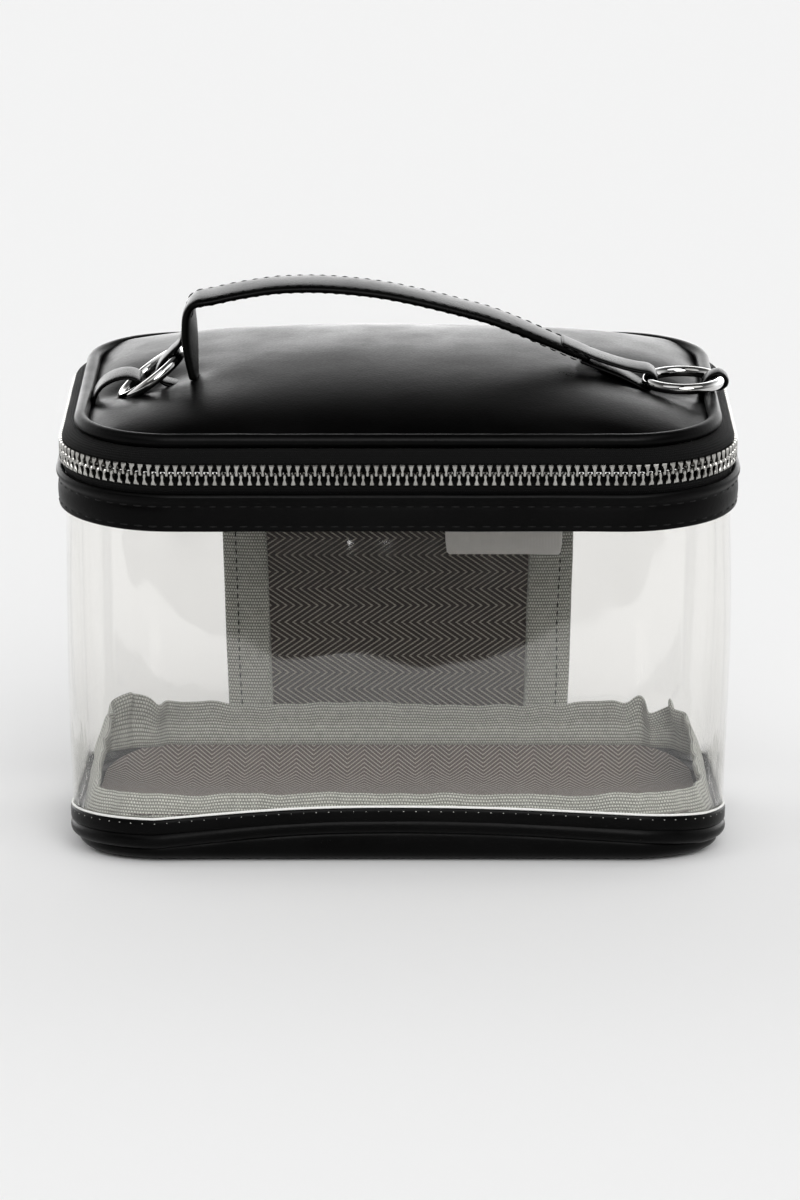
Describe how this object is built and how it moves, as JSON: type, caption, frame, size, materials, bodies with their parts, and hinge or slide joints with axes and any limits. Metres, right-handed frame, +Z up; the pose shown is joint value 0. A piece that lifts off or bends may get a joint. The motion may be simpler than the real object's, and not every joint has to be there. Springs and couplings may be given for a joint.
{
  "type": "makeup bag",
  "caption": "Clear-sided makeup train case with a padded zip-round leather lid, strap handle on two rings, lined back panel and padded base.",
  "frame": {"origin": "centre of the base on the surface it stands on", "axes": "+X to the right as seen from the front, +Y to the hinge at the back, +Z up"},
  "size_m": [0.215, 0.1503, 0.181],
  "materials": {
    "black_leather": "semi-gloss smooth imitation leather",
    "clear_vinyl": "clear flexible sheet",
    "herringbone_lining": "dark brown cloth with a fine pale chevron",
    "grey_binding": "plain woven tape",
    "fibreboard": "raw board",
    "foam": "open-cell foam",
    "zip_tape": "woven tape",
    "zip_metal": "polished metal",
    "ring_chrome": "bright plated",
    "label_satin": "blank satin label"
  },
  "bodies": {
    "case": {"base_cover": "black_leather", "base_padding": "foam", "base_board": "fibreboard", "base_lining": "herringbone_lining", "base_piping": "black_leather", "base_flange": "black_leather", "base_binding": "grey_binding", "clear_wall": "clear_vinyl", "back_panel": "black_leather", "back_board": "fibreboard", "back_lining": "herringbone_lining", "back_binding_left": "grey_binding", "back_binding_right": "grey_binding", "care_label": "label_satin", "rim_band": "black_leather", "lower_zip_tape": "zip_tape", "lower_zip_teeth": "zip_metal", "lower_zip_stops": "zip_metal", "hinge_strip_lower": "black_leather"},
    "lid": {"hinge_strip_upper": "black_leather", "upper_zip_tape": "zip_tape", "upper_zip_teeth": "zip_metal", "upper_zip_stops": "zip_metal", "lid_piping": "black_leather", "lid_cover": "black_leather", "lid_foam": "foam", "lid_board": "fibreboard", "lid_lining": "herringbone_lining", "lid_binding": "grey_binding", "left_tab": "black_leather", "right_tab": "black_leather"},
    "handle": {"handle_strap": "black_leather", "left_ring": "ring_chrome", "right_ring": "ring_chrome"},
    "slider": {"slider": "zip_metal"},
    "pull": {"slider_pull": "zip_metal"}
  },
  "joints": [
    {"name": "lid_hinge", "type": "hinge", "parent": "case", "child": "lid", "pos_m": [0, 0.07177, 0.1441], "axis": [-1, 0, 0], "range_deg": [0, 110]},
    {"name": "handle_swing", "type": "hinge", "parent": "lid", "child": "handle", "pos_m": [-0.08816, -0.01227, 0.14131], "axis": [0.9996, -0.0039, 0.0263], "range_deg": [-7, 7], "deforming": ["left_tab", "right_tab"]},
    {"name": "slider_travel", "type": "hinge", "parent": "case", "child": "slider", "pos_m": [0.0707, 0.03556, 0.13875], "axis": [0, 0.1461, -0.9893], "range_deg": [0, 90], "deforming": ["lower_zip_teeth", "upper_zip_teeth", "lower_zip_tape", "upper_zip_tape"]},
    {"name": "pull_swing", "type": "hinge", "parent": "slider", "child": "pull", "pos_m": [0.0707, 0.07538, 0.14463], "axis": [1, 0, 0], "range_deg": [0, 80]}
  ]
}
